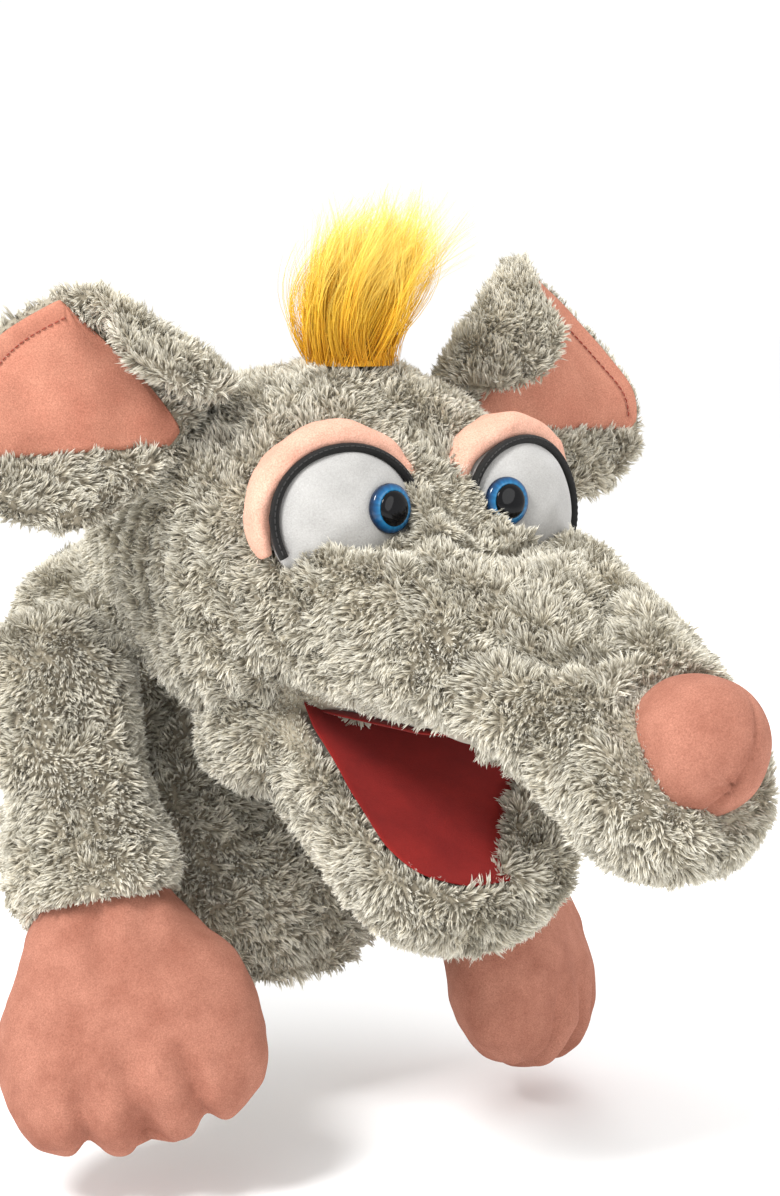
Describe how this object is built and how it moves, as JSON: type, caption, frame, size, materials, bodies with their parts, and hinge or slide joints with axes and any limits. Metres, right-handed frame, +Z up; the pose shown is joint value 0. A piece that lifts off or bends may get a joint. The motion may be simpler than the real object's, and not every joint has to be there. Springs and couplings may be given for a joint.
{
  "type": "hand puppet",
  "caption": "Plush rat hand puppet with a sleeve for the forearm, an open hand-worked mouth, long snout, big ears, padded eyes and stuffed arms.",
  "frame": {"origin": "centre of the mouth of the arm sleeve", "axes": "+Z up along the sleeve, -Y the way the puppet faces, +X its left"},
  "size_m": [0.3518, 0.4573, 0.3987],
  "materials": {
    "grey_plush": "shaggy terry plush, short uneven pile",
    "pink_velour": "short soft velour nap",
    "white_fleece": "matte fleece",
    "red_lining": "smooth matte cloth",
    "grey_lining": "plain woven lining cloth",
    "wadding": "loose polyester fibre",
    "board": "stiff plastic sheet",
    "gold_hair": "long silky pile",
    "hair_backing": "knitted backing of the long pile",
    "iris_plastic": "clear gloss over blue",
    "pupil_plastic": "polished black",
    "washer_plastic": "moulded black",
    "black_piping": "twisted black cord"
  },
  "bodies": {
    "torso": {"body_skin": "grey_plush", "body_padding": "wadding", "sleeve_lining": "grey_lining", "hem_band": "grey_plush"},
    "neck": {"neck_skin": "grey_plush", "neck_lining": "grey_lining"},
    "head": {"head_skin": "grey_plush", "head_stuffing": "wadding", "snout_stuffing": "wadding", "finger_pocket": "grey_lining", "palate_board": "board", "palate_lining": "red_lining", "nose_skin": "pink_velour", "nose_stuffing": "wadding", "hair_backing": "hair_backing", "hair_tuft": "gold_hair", "right_eye_pad": "white_fleece", "right_eye_iris": "iris_plastic", "right_eye_pupil": "pupil_plastic", "right_eye_washer": "washer_plastic", "right_eyelid": "pink_velour", "right_lid_piping": "black_piping", "left_eye_pad": "white_fleece", "left_eye_iris": "iris_plastic", "left_eye_pupil": "pupil_plastic", "left_eye_washer": "washer_plastic", "left_eyelid": "pink_velour", "left_lid_piping": "black_piping"},
    "jaw": {"jaw_skin": "grey_plush", "jaw_stuffing": "wadding", "thumb_pocket": "grey_lining", "jaw_board": "board", "mouth_floor_lining": "red_lining"},
    "right_ear": {"right_ear_back": "grey_plush", "right_ear_lining": "pink_velour"},
    "right_arm": {"right_arm_skin": "grey_plush", "right_arm_stuffing": "wadding"},
    "right_paw": {"right_paw_skin": "pink_velour", "right_paw_stuffing": "wadding"},
    "left_ear": {"left_ear_back": "grey_plush", "left_ear_lining": "pink_velour"},
    "left_arm": {"left_arm_skin": "grey_plush", "left_arm_stuffing": "wadding"},
    "left_paw": {"left_paw_skin": "pink_velour", "left_paw_stuffing": "wadding"}
  },
  "joints": [
    {"name": "head_turn", "type": "hinge", "parent": "torso", "child": "neck", "pos_m": [0, -0.034, 0.155], "axis": [0, 0, 1], "range_deg": [-7, 7]},
    {"name": "head_nod", "type": "hinge", "parent": "neck", "child": "head", "pos_m": [0, -0.034, 0.155], "axis": [1, 0, 0], "range_deg": [-15, 7]},
    {"name": "jaw_open", "type": "hinge", "parent": "head", "child": "jaw", "pos_m": [0, -0.166, 0.1], "axis": [1, 0, 0], "range_deg": [-26, 11]},
    {"name": "right_ear_flop", "type": "hinge", "parent": "head", "child": "right_ear", "pos_m": [-0.07, -0.108, 0.227], "axis": [-0.7008, 0.2438, 0.6704], "range_deg": [-12, 12]},
    {"name": "left_ear_flop", "type": "hinge", "parent": "head", "child": "left_ear", "pos_m": [0.07, -0.108, 0.227], "axis": [0.7008, 0.2438, 0.6704], "range_deg": [-12, 12]},
    {"name": "right_arm_swing", "type": "hinge", "parent": "torso", "child": "right_arm", "pos_m": [-0.104, -0.058, 0.106], "axis": [1, 0, 0], "range_deg": [-28, 15]},
    {"name": "left_arm_swing", "type": "hinge", "parent": "torso", "child": "left_arm", "pos_m": [0.104, -0.058, 0.106], "axis": [1, 0, 0], "range_deg": [-36, 7]},
    {"name": "right_paw_flex", "type": "hinge", "parent": "right_arm", "child": "right_paw", "pos_m": [-0.1077, -0.10973, 0.00001], "axis": [0.8371, -0.5026, 0.2161], "range_deg": [-18, 18]},
    {"name": "left_paw_flex", "type": "hinge", "parent": "left_arm", "child": "left_paw", "pos_m": [0.10792, -0.09446, -0.00616], "axis": [0.8346, 0.5318, -0.1438], "range_deg": [-18, 18]}
  ]
}
